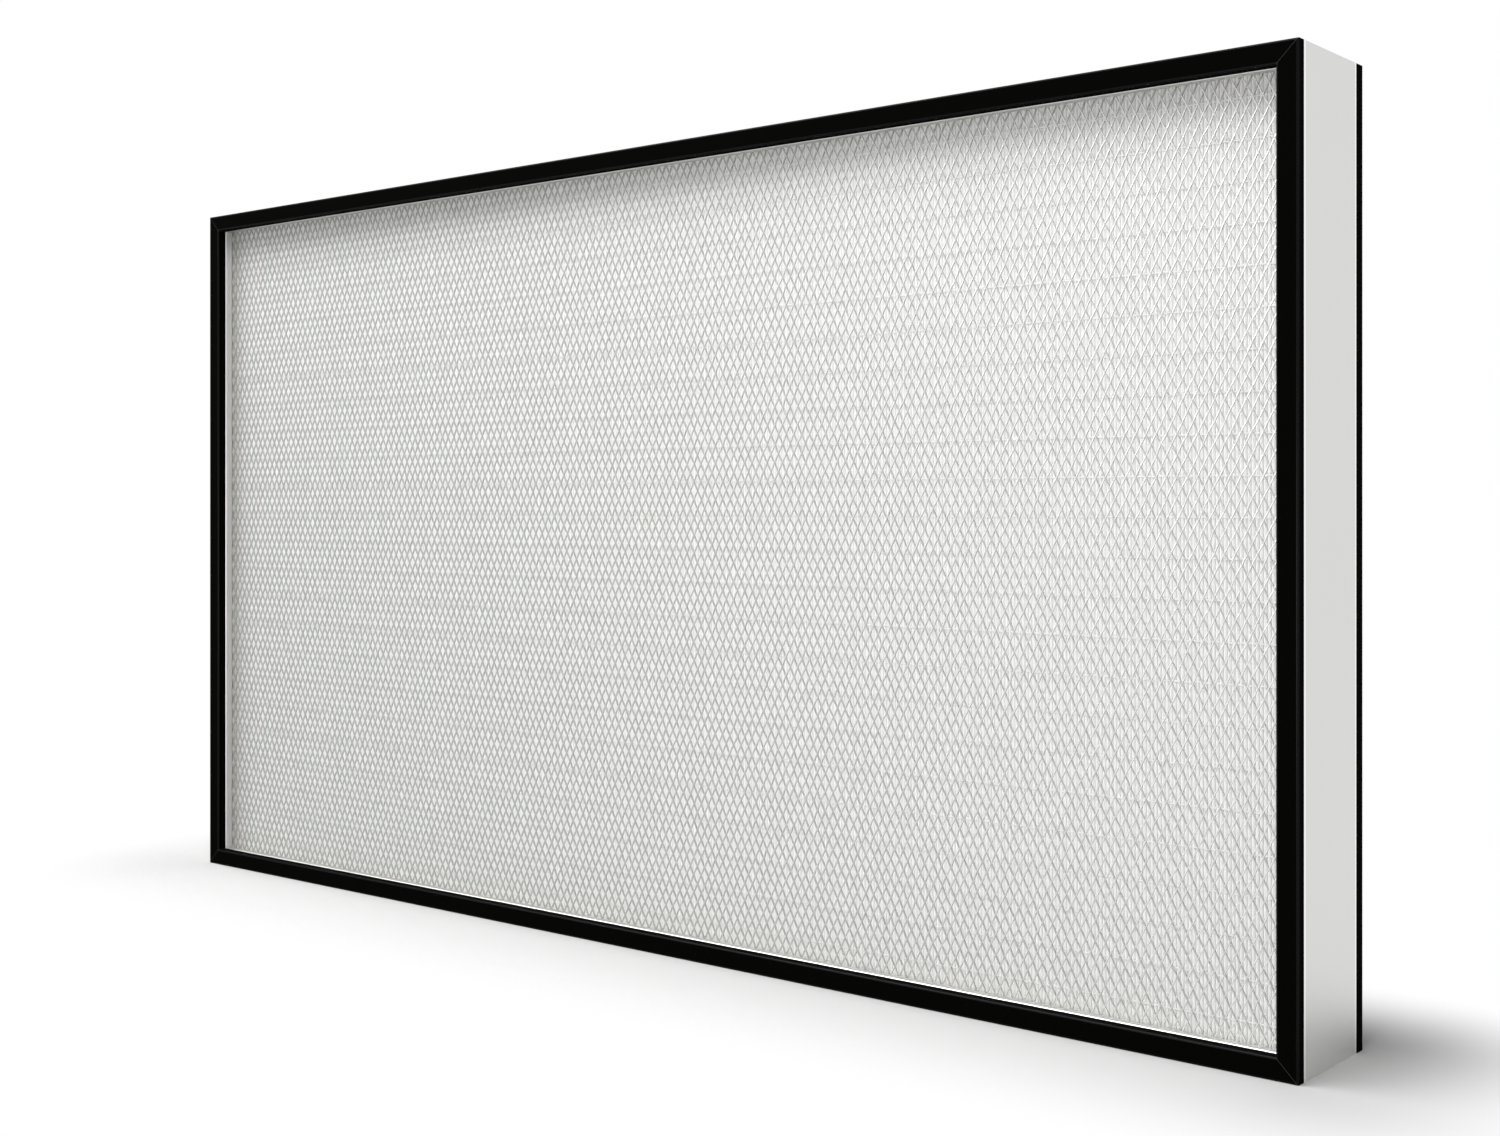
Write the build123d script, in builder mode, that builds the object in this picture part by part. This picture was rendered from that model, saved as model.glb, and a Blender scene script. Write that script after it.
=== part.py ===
"""Pleated air filter panel in a mitred aluminium frame, standing on one long edge.

+X runs along the panel's length, +Y from its front face to its rear face and +Z up. The origin is
at the middle of the bottom of the whole panel, gaskets included. Lengths are in millimetres.
"""
import os

from build123d import *

# Panel
panel_width = 1080.0
panel_height = 610.0
frame_depth = 78.0

# Frame section, one aluminium extrusion cut into four
outer_wall = 1.6
face_width = 14.5
lip_depth = 7.0
lip_wall = 1.4
outer_edge_radius = 0.8
lip_edge_chamfer = 0.4

# Corner keys, pressed into the hollow lips
key_arm_length = 42.0
key_clearance = 0.15
key_tip_chamfer = 2.5
key_notch_width = 3.0
key_notch_depth = 1.0
key_notch_pitch = 7.0
key_notch_count = 2

# Gaskets
gasket_width = 14.0
front_gasket_thickness = 8.0
rear_gasket_thickness = 10.0
gasket_edge_radius = 1.2

# Faceguards
guard_thickness = 2.2
guard_overlap = 9.0
guard_clearance = 0.1
guard_columns = 10
guard_rows = 5
strand_width = 5.0
bond_length = 14.0

# Pleated media, set back from the faceguards
pack_setback = 4.7
pleat_pitch = 4.8
paper_thickness = 0.45

# Separator beads
bead_pitch = 25.4
bead_width = 1.0
bead_height = 0.4

# Potting, measured inward from the frame's outer face
potting_level = 11.5

# Places along the depth
total_depth = front_gasket_thickness + frame_depth + rear_gasket_thickness
frame_front = front_gasket_thickness - total_depth / 2
frame_rear = frame_front + frame_depth
frame_middle = frame_front + frame_depth / 2

# The four sides. Each plane lies on the middle of a side's outer face: its x runs to the rear,
# its y points into the panel, and its z runs along the side.
sides = {
    "top": (Plane((0, 0, panel_height), x_dir=(0, 1, 0), z_dir=(-1, 0, 0)), panel_width),
    "bottom": (Plane((0, 0, 0), x_dir=(0, 1, 0), z_dir=(1, 0, 0)), panel_width),
    "left": (
        Plane((-panel_width / 2, 0, panel_height / 2), x_dir=(0, 1, 0), z_dir=(0, 0, -1)),
        panel_height,
    ),
    "right": (
        Plane((panel_width / 2, 0, panel_height / 2), x_dir=(0, 1, 0), z_dir=(0, 0, 1)),
        panel_height,
    ),
}

os.makedirs("parts", exist_ok=True)


def write(part, name):
    """Name a finished piece and write it."""
    part.label = name
    export_step(part, f"parts/{name}.step")


def mitre_ends(plane, length):
    """Cut both ends of the side being built at 45 degrees, where its neighbours meet it."""
    for end in (-1, 1):
        corner = plane.origin + plane.z_dir * (end * length / 2)
        split(
            bisect_by=Plane(corner, z_dir=plane.y_dir + plane.z_dir * end),
            keep=Keep.BOTTOM,
        )


# Frame: a channel whose two lips are hollow. The channel holds the potting, and the lips carry
# the gaskets outside and the faceguards inside.
chamber_depth = lip_depth - 2 * lip_wall
chamber_height = face_width - outer_wall - lip_wall
lip_middle = (frame_depth - lip_depth) / 2

for side, (plane, length) in sides.items():
    with BuildPart() as frame_side:
        with BuildSketch(plane) as section:
            with Locations((frame_middle, 0)):
                Rectangle(frame_depth, face_width, align=(Align.CENTER, Align.MIN))
                with Locations((0, outer_wall)):
                    Rectangle(
                        frame_depth - 2 * lip_depth,
                        face_width - outer_wall,
                        align=(Align.CENTER, Align.MIN),
                        mode=Mode.SUBTRACT,
                    )
            fillet(section.vertices().group_by(Axis.Y)[0], outer_edge_radius)
            chamfer(section.vertices().group_by(Axis.Y)[-1], lip_edge_chamfer)
            with Locations(
                (frame_middle - lip_middle, outer_wall), (frame_middle + lip_middle, outer_wall)
            ):
                Rectangle(
                    chamber_depth,
                    chamber_height,
                    align=(Align.CENTER, Align.MIN),
                    mode=Mode.SUBTRACT,
                )
        extrude(amount=length / 2, both=True)
        mitre_ends(plane, length)
    write(frame_side.part, f"frame_{side}")

# Corner keys: flat L-shaped cleats, one in the front lip and one in the rear lip of each corner.
# Each arm has notches that the lip's wall is crimped into, and a tapered tip that leads it in.
key_offset = outer_wall + key_clearance
key_arm_width = chamber_height - 2 * key_clearance
key_thickness = chamber_depth - 2 * key_clearance
corners = {
    "top_left": (-1, 1),
    "top_right": (1, 1),
    "bottom_left": (-1, -1),
    "bottom_right": (1, -1),
}

for face, key_middle in (("front", frame_middle - lip_middle), ("rear", frame_middle + lip_middle)):
    for corner, (across, up) in corners.items():
        height = panel_height if up > 0 else 0
        corner_plane = Plane(
            (across * panel_width / 2, key_middle, height),
            x_dir=(-across, 0, 0),
            z_dir=(0, -across * up, 0),
        )
        with BuildPart() as key:
            with BuildSketch(corner_plane) as cleat:
                with BuildLine():
                    Polyline(
                        (key_offset, key_offset),
                        (key_arm_length, key_offset),
                        (key_arm_length, key_offset + key_arm_width),
                        (key_offset + key_arm_width, key_offset + key_arm_width),
                        (key_offset + key_arm_width, key_arm_length),
                        (key_offset, key_arm_length),
                        close=True,
                    )
                make_face()
                tips = cleat.vertices().group_by(Axis.X)[-1] + cleat.vertices().group_by(Axis.Y)[-1]
                chamfer(tips, key_tip_chamfer)
                first_notch = key_arm_length - key_tip_chamfer - key_notch_pitch
                for notch in range(key_notch_count):
                    along = first_notch - notch * key_notch_pitch
                    inner_edge = key_offset + key_arm_width
                    with Locations((along, inner_edge)):
                        Rectangle(key_notch_width, 2 * key_notch_depth, mode=Mode.SUBTRACT)
                    with Locations((inner_edge, along)):
                        Rectangle(2 * key_notch_depth, key_notch_width, mode=Mode.SUBTRACT)
            extrude(amount=key_thickness / 2, both=True)
        write(key.part, f"{face}_key_{corner}")

# Gaskets: mitred foam rubber strips on the front and rear of the frame, flush with its outside.
# The two edges away from the frame are rounded.
gaskets = {
    "front": (frame_front, -1, front_gasket_thickness),
    "rear": (frame_rear, 1, rear_gasket_thickness),
}

for face, (seat, outward, thickness) in gaskets.items():
    for side, (plane, length) in sides.items():
        with BuildPart() as gasket:
            with BuildSketch(plane) as strip:
                with Locations((seat + outward * thickness / 2, gasket_width / 2)):
                    Rectangle(thickness, gasket_width)
                free_corners = strip.vertices().group_by(Axis.X, reverse=outward > 0)[0]
                fillet(free_corners, gasket_edge_radius)
            extrude(amount=length / 2, both=True)
            mitre_ends(plane, length)
        write(gasket.part, f"{face}_gasket_{side}")

# Faceguards: expanded metal sheets behind the lips, their long diamonds upright. Each opening ends
# in a point above and below, and at the sides in the bonds that join neighbouring strands.
window_width = panel_width - 2 * face_width
window_height = panel_height - 2 * face_width
guard_width = window_width + 2 * guard_overlap
guard_height = window_height + 2 * guard_overlap
column_pitch = window_width / guard_columns
row_pitch = window_height / guard_rows
opening_half_width = column_pitch / 2 - strand_width
opening_half_height = row_pitch / 2 - bond_length / 2
guards = {
    "front": frame_front + lip_depth + guard_clearance + guard_thickness,
    "rear": frame_rear - lip_depth - guard_clearance,
}

for face, guard_back in guards.items():
    guard_plane = Plane((0, guard_back, panel_height / 2), x_dir=(1, 0, 0), z_dir=(0, -1, 0))
    with BuildPart() as faceguard:
        with BuildSketch(guard_plane):
            Rectangle(guard_width, guard_height)
        extrude(amount=guard_thickness)
        with BuildSketch(guard_plane) as openings:
            for columns, rows in (
                (guard_columns, guard_rows),
                (guard_columns + 1, guard_rows + 1),
            ):
                with GridLocations(column_pitch, row_pitch, columns, rows):
                    Polygon(
                        (0, opening_half_height),
                        (-opening_half_width, bond_length / 2),
                        (-opening_half_width, -bond_length / 2),
                        (0, -opening_half_height),
                        (opening_half_width, -bond_length / 2),
                        (opening_half_width, bond_length / 2),
                    )
            Rectangle(window_width, window_height, mode=Mode.INTERSECT)
        extrude(amount=guard_thickness, mode=Mode.SUBTRACT)
    write(faceguard.part, f"{face}_faceguard")

# Potting: a ring of cast polyurethane that fills the channel between the two faceguards, and
# holds the pack's edges all round.
pack_width = panel_width - 2 * potting_level
pack_height = panel_height - 2 * potting_level
potting_front = guards["front"]
potting_rear = guards["rear"] - guard_thickness

with BuildPart() as potting:
    with BuildSketch(Plane((0, potting_rear, panel_height / 2), x_dir=(1, 0, 0), z_dir=(0, -1, 0))):
        Rectangle(panel_width - 2 * outer_wall, panel_height - 2 * outer_wall)
        Rectangle(pack_width, pack_height, mode=Mode.SUBTRACT)
    extrude(amount=potting_rear - potting_front)
write(potting.part, "potting")

# Media pack: one sheet of filter paper folded to and fro, its folds upright. A fold is two
# thicknesses of paper wide at its tip, and one thickness deep.
pack_front = potting_front + pack_setback
pack_rear = potting_rear - pack_setback
pleat_count = round((pack_width - 2 * paper_thickness) / pleat_pitch)
fold_spacing = (pack_width - 2 * paper_thickness) / pleat_count / 2

front_surface = []
rear_surface = []
for fold in range(2 * pleat_count + 1):
    x = paper_thickness - pack_width / 2 + fold * fold_spacing
    if fold % 2 == 0:
        front_surface += [(x - paper_thickness, pack_front), (x + paper_thickness, pack_front)]
        rear_surface += [(x, pack_front + paper_thickness)]
    else:
        front_surface += [(x, pack_rear - paper_thickness)]
        rear_surface += [(x - paper_thickness, pack_rear), (x + paper_thickness, pack_rear)]

with BuildPart() as media_pack:
    with BuildSketch(Plane.XY.offset(potting_level)):
        with BuildLine():
            Polyline(*front_surface, *reversed(rear_surface), close=True)
        make_face()
    extrude(amount=pack_height)
write(media_pack.part, "media_pack")

# Separator beads: lines of hot-melt adhesive laid across the fold tips, which keep them apart.
bead_count = int(pack_height / bead_pitch)

for face, bead_base, outward in (("front", pack_front, -1), ("rear", pack_rear, 1)):
    tip_plane = Plane(
        (0, bead_base, panel_height / 2), x_dir=(-outward, 0, 0), z_dir=(0, outward, 0)
    )
    with BuildPart() as separator_beads:
        with BuildSketch(tip_plane):
            with GridLocations(pack_width, bead_pitch, 1, bead_count):
                Rectangle(pack_width, bead_width)
        extrude(amount=bead_height)
    write(separator_beads.part, f"{face}_separator_beads")
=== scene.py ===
import math

import bpy
import numpy as np
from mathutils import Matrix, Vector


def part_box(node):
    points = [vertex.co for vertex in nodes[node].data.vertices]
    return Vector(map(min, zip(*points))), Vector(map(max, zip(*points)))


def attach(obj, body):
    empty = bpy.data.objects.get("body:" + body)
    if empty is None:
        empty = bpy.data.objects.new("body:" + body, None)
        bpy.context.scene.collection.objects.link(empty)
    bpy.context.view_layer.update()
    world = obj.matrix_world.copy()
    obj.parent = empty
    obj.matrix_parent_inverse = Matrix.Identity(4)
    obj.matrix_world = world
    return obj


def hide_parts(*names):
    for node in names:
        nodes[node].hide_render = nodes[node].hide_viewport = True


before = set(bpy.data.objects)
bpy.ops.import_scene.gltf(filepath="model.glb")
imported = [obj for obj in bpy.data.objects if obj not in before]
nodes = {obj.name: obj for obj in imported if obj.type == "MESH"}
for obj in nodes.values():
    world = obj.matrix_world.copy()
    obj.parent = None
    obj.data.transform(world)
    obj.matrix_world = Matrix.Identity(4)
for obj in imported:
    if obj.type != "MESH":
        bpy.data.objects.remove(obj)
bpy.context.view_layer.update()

# Camera: the panel stands upright, and is seen from its right, a little above half its height.
# The lens and the place are those of a pinhole camera fitted to the panel's straight edges.
camera_place = (1.0012, -1.0993, 0.3374)
camera_turn = 39.804
sensor_width = 36.0
lens_length = 45.54
frame_shift = -0.0415

camera = bpy.data.objects.new("camera", bpy.data.cameras.new("camera"))
camera.location = camera_place
camera.rotation_euler = (math.radians(90), 0, math.radians(camera_turn))
camera.data.sensor_width = sensor_width
camera.data.lens = lens_length
camera.data.shift_y = frame_shift
bpy.context.scene.collection.objects.link(camera)
bpy.context.scene.camera = camera

# Frame: four lengths of one hollow aluminium extrusion, mitred at the corners. It has a satin
# natural anodised finish, with fine drawing lines that run along each length. A painted highlight
# brightens the front and rear edges of its outer wall, where those edges would catch the light.
anodised_dark = (0.66, 0.66, 0.645, 1)
anodised_light = (0.74, 0.74, 0.725, 1)
anodised_roughness = 0.38
roughness_spread = 0.16
line_fineness = 1600
line_stretch = 2.5
line_detail = 3.0
line_share = 0.7
cloud_fineness = 7.0
# Painted highlight: the pale colour and band width used along the frame's outer front and rear edges.
painted_edge_highlight = (0.93, 0.93, 0.92, 1)
edge_highlight_width = 0.0024
outer_wall = 0.0016
frame_middle_y = -0.001
frame_half_depth = 0.039
panel_half_length = 0.540
panel_half_height = 0.305


class Value:
    """One socket in the nodes of a finish. Sums written on it add Math nodes."""

    def __init__(self, tree, socket=None):
        self.tree = tree
        self.socket = socket

    def node(self, kind, settings, inputs, output=0):
        """Adds a node of any kind: its settings first, then its sockets' values or links."""
        node = self.tree.nodes.new(kind)
        for name, setting in settings.items():
            setattr(node, name, setting)
        for name, value in inputs.items():
            if isinstance(value, Value):
                self.tree.links.new(value.socket, node.inputs[name])
            else:
                node.inputs[name].default_value = value
        return Value(self.tree, node.outputs[output])

    def math(self, operation, first, second=0.0):
        return self.node("ShaderNodeMath", {"operation": operation}, {0: first, 1: second})

    def __add__(self, other):
        return self.math("ADD", self, other)

    __radd__ = __add__

    def __sub__(self, other):
        return self.math("SUBTRACT", self, other)

    def __rsub__(self, other):
        return self.math("SUBTRACT", other, self)

    def __mul__(self, other):
        return self.math("MULTIPLY", self, other)

    __rmul__ = __mul__


def new_finish(name, constants):
    """A material on one Principled shader, whose constants are set on its own sockets."""
    finish = bpy.data.materials.new(name)
    finish.use_nodes = True
    shader = finish.node_tree.nodes["Principled BSDF"]
    for socket, constant in constants.items():
        shader.inputs[socket].default_value = constant
    start = Value(finish.node_tree)
    place = start.node("ShaderNodeTexCoord", {}, {}, "Object")
    return finish, shader, place


def feed(value, shader, socket):
    value.tree.links.new(value.socket, shader.inputs[socket])


def mottle(place, fineness, detail=2.0, stretch=(1, 1, 1)):
    """Noise from 0 to 1 over a surface, finer along the axes with a larger stretch."""
    spread = place.node("ShaderNodeMapping", {}, {"Vector": place, "Scale": stretch})
    return place.node(
        "ShaderNodeTexNoise", {}, {"Vector": spread, "Scale": fineness, "Detail": detail}
    )


def blend_colour(share, first, second):
    """The first colour where share is 0, the second where it is 1."""
    return share.node(
        "ShaderNodeMix", {"data_type": "RGBA"}, {"Factor": share, 6: first, 7: second}, 2
    )


def across_panel(place):
    """How far in a point is from the panel's nearer end and long edge, and how deep it lies."""
    length = place.node("ShaderNodeSeparateXYZ", {}, {"Vector": place}, "X")
    height = Value(place.tree, length.socket.node.outputs["Z"])
    depth = Value(place.tree, length.socket.node.outputs["Y"])
    from_end = panel_half_length - place.math("ABSOLUTE", length)
    from_edge = panel_half_height - place.math("ABSOLUTE", height - panel_half_height)
    return from_end, from_edge, depth


def finish_node(name, finish):
    for material_slot in nodes[name].material_slots:
        material_slot.material = finish
    if not nodes[name].material_slots:
        nodes[name].data.materials.append(finish)


for along, names, stretch in (
    ("x", ("frame_top", "frame_bottom"), (line_stretch, line_fineness, line_fineness)),
    ("z", ("frame_left", "frame_right"), (line_fineness, line_fineness, line_stretch)),
):
    anodised, shader, place = new_finish(
        f"anodised_aluminium_{along}", {"Metallic": 1.0, "Roughness": anodised_roughness}
    )
    lines = mottle(place, 1.0, line_detail, stretch)
    clouds = mottle(place, cloud_fineness)
    satin = blend_colour(
        lines * line_share + clouds * (1 - line_share), anodised_dark, anodised_light
    )
    from_end, from_edge, depth = across_panel(place)
    on_wall = place.math("LESS_THAN", place.math("MINIMUM", from_end, from_edge), outer_wall)
    from_middle = place.math("ABSOLUTE", depth - frame_middle_y)
    near_face = place.math("GREATER_THAN", from_middle, frame_half_depth - edge_highlight_width)
    # Painted highlight: a pale band in the base colour along the outer wall's front and rear edges,
    # standing in for light caught by those edges.
    feed(blend_colour(near_face * on_wall, satin, painted_edge_highlight), shader, "Base Color")
    feed(
        anodised_roughness - roughness_spread / 2 + lines * roughness_spread, shader, "Roughness"
    )
    for name in names:
        finish_node(name, anodised)

# Corner keys: L-shaped aluminium cleats pressed into the hollow lips, two at each corner. They
# are cut from bar in mill finish, and the frame hides them.
mill_dark = (0.52, 0.52, 0.52, 1)
mill_light = (0.64, 0.64, 0.63, 1)
mill_stretch = (90, 900, 90)

mill, shader, place = new_finish("mill_aluminium", {"Metallic": 1.0, "Roughness": 0.45})
rolling = mottle(place, 1.0, line_detail, mill_stretch)
feed(blend_colour(rolling, mill_dark, mill_light), shader, "Base Color")
for face in ("front", "rear"):
    for corner in ("top_left", "top_right", "bottom_left", "bottom_right"):
        finish_node(f"{face}_key_{corner}", mill)

# Gaskets: strips of closed-cell black rubber foam, glued round the front and the rear of the
# frame and mitred at the corners. The skin is matt with fine pores, and smoother where the
# edges are rounded. A thin grey line of glue shows in each mitre.
foam_dark = (0.0007, 0.0007, 0.0006, 1)
foam_light = (0.0014, 0.0014, 0.0012, 1)
glue_grey = (0.035, 0.035, 0.033, 1)
pore_fineness = 1400.0
pore_strength = 0.15
pore_depth = 0.0003
edge_gloss = 0.15
edge_width = 0.0013
strip_width = 0.014
mitre_line = 0.00018
panel_half_depth = 0.048

foam, shader, place = new_finish(
    "black_foam",
    {"Roughness": 0.85, "Specular IOR Level": 0.01, "Coat Roughness": 0.22, "Coat IOR": 1.5},
)
from_end, from_edge, depth = across_panel(place)
from_outside = place.math("MINIMUM", from_end, from_edge)
near_rim = place.math("MINIMUM", from_outside, strip_width - from_outside)
near_face = place.math("GREATER_THAN", place.math("ABSOLUTE", depth), panel_half_depth - edge_width)
rounded = place.math("LESS_THAN", near_rim, edge_width) * near_face
off_mitre = place.math("ABSOLUTE", from_end - from_edge)
glued = place.math("LESS_THAN", off_mitre, mitre_line)
pores = mottle(place, pore_fineness)
feed(blend_colour(glued, blend_colour(pores, foam_dark, foam_light), glue_grey), shader, "Base Color")
feed(rounded * edge_gloss, shader, "Coat Weight")
skin = place.node(
    "ShaderNodeBump", {}, {"Strength": pore_strength, "Distance": pore_depth, "Height": pores}
)
feed(skin, shader, "Normal")
for face in ("front", "rear"):
    for side in ("top", "bottom", "left", "right"):
        finish_node(f"{face}_gasket_{side}", foam)

# Faceguards: two sheets of galvanised steel, slit and stretched into upright diamonds. They lie
# behind the frame's lips, and keep hands off the filter paper.
mesh_width = 0.0071
mesh_height = 0.0134
mesh_rows = 90
mesh_columns = 151
mesh_waver = 0.00020
waver_limit = 0.0004
lean_share = 0.25
knuckle_half_width = 0.00045
knuckle_half_height = 0.0007
left_edge_y = -0.00045
crotch_y = -0.00070
right_edge_y = -0.00095
spine = (0.00015, 0.00095)
zinc_dark = (0.50, 0.50, 0.495, 1)
zinc_light = (0.64, 0.64, 0.63, 1)
spangle_fineness = 160.0
spangle_detail = 3.0


def expanded_sheet(name, node, forward, seed):
    """A closed lattice: a tilted diamond at each knuckle, and a three-sided strand between two."""
    low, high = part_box(node)
    middle = (low + high) / 2
    scatter = np.random.default_rng(seed)
    corners = []
    first = {}
    for row in range(mesh_rows):
        columns = mesh_columns - row % 2
        for column in range(columns):
            wander = np.clip(scatter.normal(0, mesh_waver, 3), -waver_limit, waver_limit)
            x = middle.x + (column - (columns - 1) / 2) * mesh_width + wander[0]
            z = middle.z + (row - (mesh_rows - 1) / 2) * mesh_height / 2 + wander[2]
            lean = lean_share * wander[1]
            first[row, column] = len(corners)
            for dx, dy, dz in (
                (-knuckle_half_width, left_edge_y, 0),
                (0, crotch_y, knuckle_half_height),
                (knuckle_half_width, right_edge_y, 0),
                (0, crotch_y, -knuckle_half_height),
                (spine[0], spine[1], 0),
            ):
                corners.append((x + dx, middle.y + forward * (dy + lean), z + dz))
    left, top, right, bottom, back = range(5)
    faces = []
    for (row, column), knuckle in first.items():
        faces.append([knuckle + k for k in (left, bottom, right, top)])
        shift = row % 2
        for reach, near, far in (
            (shift, (top, right), (left, bottom)),
            (shift - 1, (left, top), (bottom, right)),
        ):
            other = first.get((row + 1, column + reach))
            near_ring = [knuckle + near[0], knuckle + near[1], knuckle + back]
            if other is None:
                faces.append(near_ring)
                continue
            far_ring = [other + far[0], other + far[1], other + back]
            for k in range(3):
                n = (k + 1) % 3
                faces.append([near_ring[k], near_ring[n], far_ring[n], far_ring[k]])
        for reach, ring in ((shift - 1, (bottom, left)), (shift, (right, bottom))):
            if (row - 1, column + reach) not in first:
                faces.append([knuckle + ring[0], knuckle + ring[1], knuckle + back])
    mesh = bpy.data.meshes.new(name)
    mesh.from_pydata(corners, [], faces)
    mesh.validate()
    if forward < 0:
        mesh.flip_normals()  # the rear sheet is a mirror image, which turns its faces inward
    sheet = bpy.data.objects.new(name, mesh)
    bpy.context.scene.collection.objects.link(sheet)
    return sheet


zinc, shader, place = new_finish("galvanised_steel", {"Metallic": 1.0, "Roughness": 0.5})
spangle = mottle(place, spangle_fineness, spangle_detail)
feed(blend_colour(spangle, zinc_dark, zinc_light), shader, "Base Color")
for face, forward, seed in (("front", 1, 11), ("rear", -1, 7)):
    guard = expanded_sheet(f"{face}_expanded_mesh", f"{face}_faceguard", forward, seed)
    guard.data.materials.append(zinc)
    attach(guard, "root")
    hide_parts(f"{face}_faceguard")

# Media pack: one sheet of matt white glass-fibre paper, folded to and fro into narrow upright
# pleats. Its folds are round, and wider than the gaps that they leave.
pleat_pitch = 0.0026
paper_half = 0.000225
fold_radius = 0.00085
bend_steps = 4
crease_angle = 60
paper_dark = (0.95, 0.95, 0.94, 1)
paper_light = (0.98, 0.98, 0.97, 1)
fibre_fineness = 500.0
fibre_detail = 4.0


def folded_pack(name, node):
    """The paper's front and rear surfaces along its folds, joined at the top and the bottom."""
    low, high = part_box(node)
    width = high.x - low.x
    folds = 2 * round(width / pleat_pitch) - 1
    margin = paper_half + fold_radius
    step = (width - 2 * margin) / (folds - 1)
    front = [(low.x, high.y)]
    rear = [(low.x + 2 * paper_half, high.y)]
    for fold in range(folds):
        outward = -1 if fold % 2 == 0 else 1
        centre_x = low.x + margin + fold * step
        tip = low.y if outward < 0 else high.y
        centre_y = tip - outward * margin
        for turn in range(bend_steps + 1):
            angle = math.pi * turn / bend_steps
            for surface, radius in (
                (front, fold_radius - outward * paper_half),
                (rear, fold_radius + outward * paper_half),
            ):
                surface.append((
                    centre_x - radius * math.cos(angle),
                    centre_y + outward * radius * math.sin(angle),
                ))
    front.append((high.x, high.y))
    rear.append((high.x - 2 * paper_half, high.y))
    corners = []
    for front_point, rear_point in zip(front, rear):
        for level in (low.z, high.z):
            corners.append((*front_point, level))
            corners.append((*rear_point, level))
    faces = [(0, 2, 3, 1)]
    for k in range(0, len(corners) - 4, 4):
        for i, j in ((0, 2), (2, 3), (3, 1), (1, 0)):
            faces.append((k + i, k + 4 + i, k + 4 + j, k + j))
    end = len(corners) - 4
    faces.append((end, end + 1, end + 3, end + 2))
    mesh = bpy.data.meshes.new(name)
    mesh.from_pydata(corners, [], faces)
    mesh.validate()
    mesh.shade_smooth()
    mesh.set_sharp_from_angle(angle=math.radians(crease_angle))
    pack = bpy.data.objects.new(name, mesh)
    bpy.context.scene.collection.objects.link(pack)
    return pack


paper, shader, place = new_finish(
    "glass_fibre_paper", {"Roughness": 0.95, "Specular IOR Level": 0.2}
)
fibres = mottle(place, fibre_fineness, fibre_detail)
feed(blend_colour(fibres, paper_dark, paper_light), shader, "Base Color")
pleats = folded_pack("pleated_paper", "media_pack")
pleats.data.materials.append(paper)
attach(pleats, "root")
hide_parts("media_pack")

# Separator beads: lines of off-white hot-melt adhesive, laid across the fold tips on both sides
# of the pack. They set in slight ripples, and keep the folds apart.
melt_dark = (0.88, 0.88, 0.86, 1)
melt_light = (0.92, 0.92, 0.90, 1)
ripple_fineness = 200.0

hot_melt, shader, place = new_finish("hot_melt", {"Roughness": 0.4})
ripples = mottle(place, ripple_fineness)
feed(blend_colour(ripples, melt_dark, melt_light), shader, "Base Color")
for face in ("front", "rear"):
    finish_node(f"{face}_separator_beads", hot_melt)

# Potting: a ring of off-white polyurethane, cast round the pack's edges in the frame's channel.
# Its colour drifts a little, as cast resin's does.
resin_dark = (0.82, 0.80, 0.74, 1)
resin_light = (0.88, 0.86, 0.80, 1)
swirl_fineness = 25.0
swirl_detail = 3.0

resin, shader, place = new_finish("cast_resin", {"Roughness": 0.3})
swirl = mottle(place, swirl_fineness, swirl_detail)
feed(blend_colour(swirl, resin_dark, resin_light), shader, "Base Color")
finish_node("potting", resin)

# Studio: a pale floor under a white surround, and three large soft lamps. The floor keeps the
# panel's shadow close to it, and fades to plain white further off.
floor_half = 6.0
floor_colour = (0.50, 0.50, 0.50, 1)
plain_white = (1, 1, 1, 1)
shadow_near = 0.01
shadow_far = 0.16
surround_light = 0.30


def seen_rays(value):
    """1 for the rays that should meet the plain white of the studio, 0 for its light."""
    camera_ray = value.node("ShaderNodeLightPath", {}, {}, "Is Camera Ray")
    glossy_ray = value.node("ShaderNodeLightPath", {}, {}, "Is Glossy Ray")
    through_ray = value.node("ShaderNodeLightPath", {}, {}, "Is Transmission Ray")
    return value.math("MINIMUM", camera_ray + glossy_ray + through_ray, 1.0)


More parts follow.
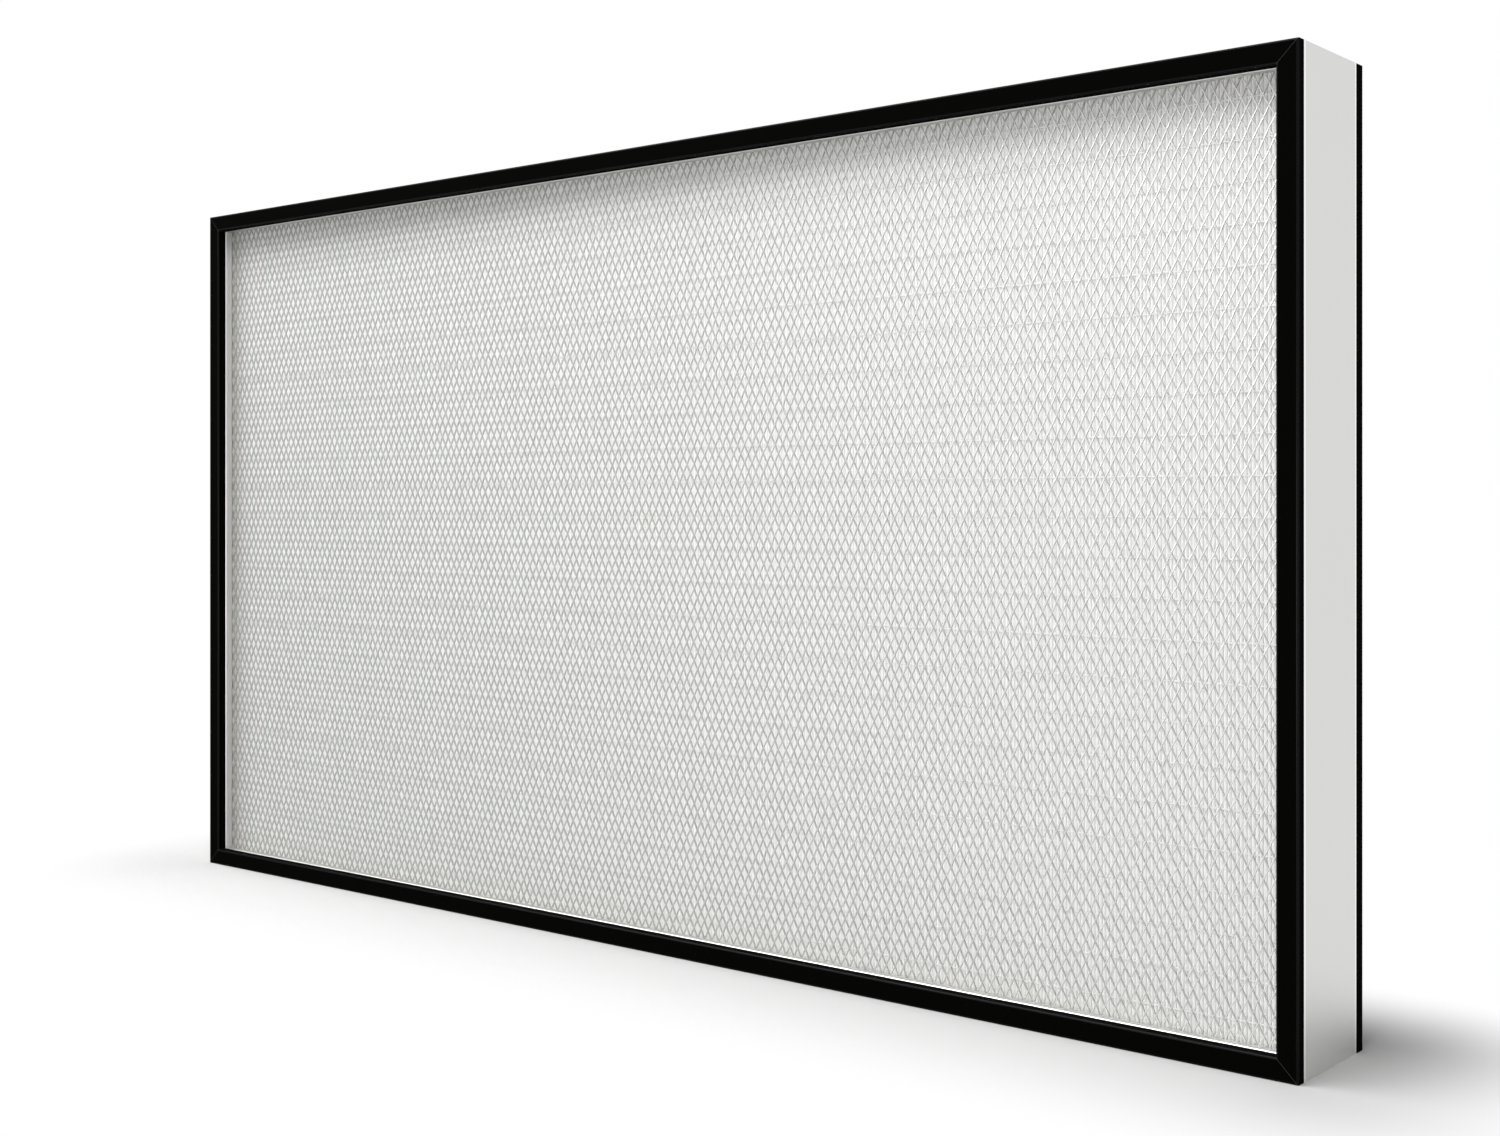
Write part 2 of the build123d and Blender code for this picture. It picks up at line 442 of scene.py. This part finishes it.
floor_mesh = bpy.data.meshes.new("floor")
floor_mesh.from_pydata(
    [(-floor_half, -floor_half, 0), (floor_half, -floor_half, 0),
     (floor_half, floor_half, 0), (-floor_half, floor_half, 0)],
    [], [(0, 1, 2, 3)],
)
floor = bpy.data.objects.new("floor", floor_mesh)
bpy.context.scene.collection.objects.link(floor)
floor_paint, shader, place = new_finish(
    "floor_paint", {"Roughness": 0.9, "Base Color": floor_colour}
)
seen = seen_rays(place)
beyond = place.node(
    "ShaderNodeVectorMath", {"operation": "SUBTRACT"},
    {0: place.node("ShaderNodeVectorMath", {"operation": "ABSOLUTE"}, {0: place}),
     1: (panel_half_length, panel_half_depth, 0)},
)
outside = place.node("ShaderNodeVectorMath", {"operation": "MAXIMUM"}, {0: beyond, 1: (0, 0, 0)})
gap = place.node("ShaderNodeVectorMath", {"operation": "LENGTH"}, {0: outside}, "Value")
fade = place.node(
    "ShaderNodeMapRange", {"interpolation_type": "SMOOTHSTEP"},
    {"Value": gap, "From Min": shadow_near, "From Max": shadow_far},
)
white = place.node("ShaderNodeEmission", {}, {"Color": plain_white, "Strength": 1.0})
both = place.node(
    "ShaderNodeMixShader", {}, {0: seen * fade, 1: Value(place.tree, shader.outputs[0]), 2: white}
)
feed(both, place.tree.nodes["Material Output"], "Surface")
floor.data.materials.append(floor_paint)

world = bpy.data.worlds.new("surround")
bpy.context.scene.world = world
world.use_nodes = True
backdrop = world.node_tree.nodes["Background"]
backdrop.inputs["Color"].default_value = plain_white
seen = seen_rays(Value(world.node_tree))
feed(surround_light + seen * (1 - surround_light), backdrop, "Strength")


def soft_lamp(name, place, aim, width, height, power):
    """A rectangular lamp that the camera doesn't see, turned from its place towards its aim."""
    lamp = bpy.data.objects.new(name, bpy.data.lights.new(name, "AREA"))
    lamp.data.shape = "RECTANGLE"
    lamp.data.size = width
    lamp.data.size_y = height
    lamp.data.energy = power
    lamp.location = place
    direction = np.array(aim) - np.array(place)
    flat = math.hypot(direction[0], direction[1])
    lamp.rotation_euler = (
        math.atan2(flat, -direction[2]), 0, math.atan2(-direction[0], direction[1])
    )
    lamp.visible_camera = False
    bpy.context.scene.collection.objects.link(lamp)


soft_lamp("top_lamp", place=(-0.5, -1.1, 2.6), aim=(0, 0, 0.3), width=3.6, height=2.0, power=128)
soft_lamp("left_lamp", place=(-1.5, -1.35, 1.4), aim=(0.3, 0, 0.35), width=1.5, height=1.3, power=12)
soft_lamp("front_lamp", place=(0.5, -1.5, 0.2), aim=(0.3, 0, 0), width=1.6, height=0.4, power=6)

bpy.context.scene.view_settings.view_transform = "Standard"
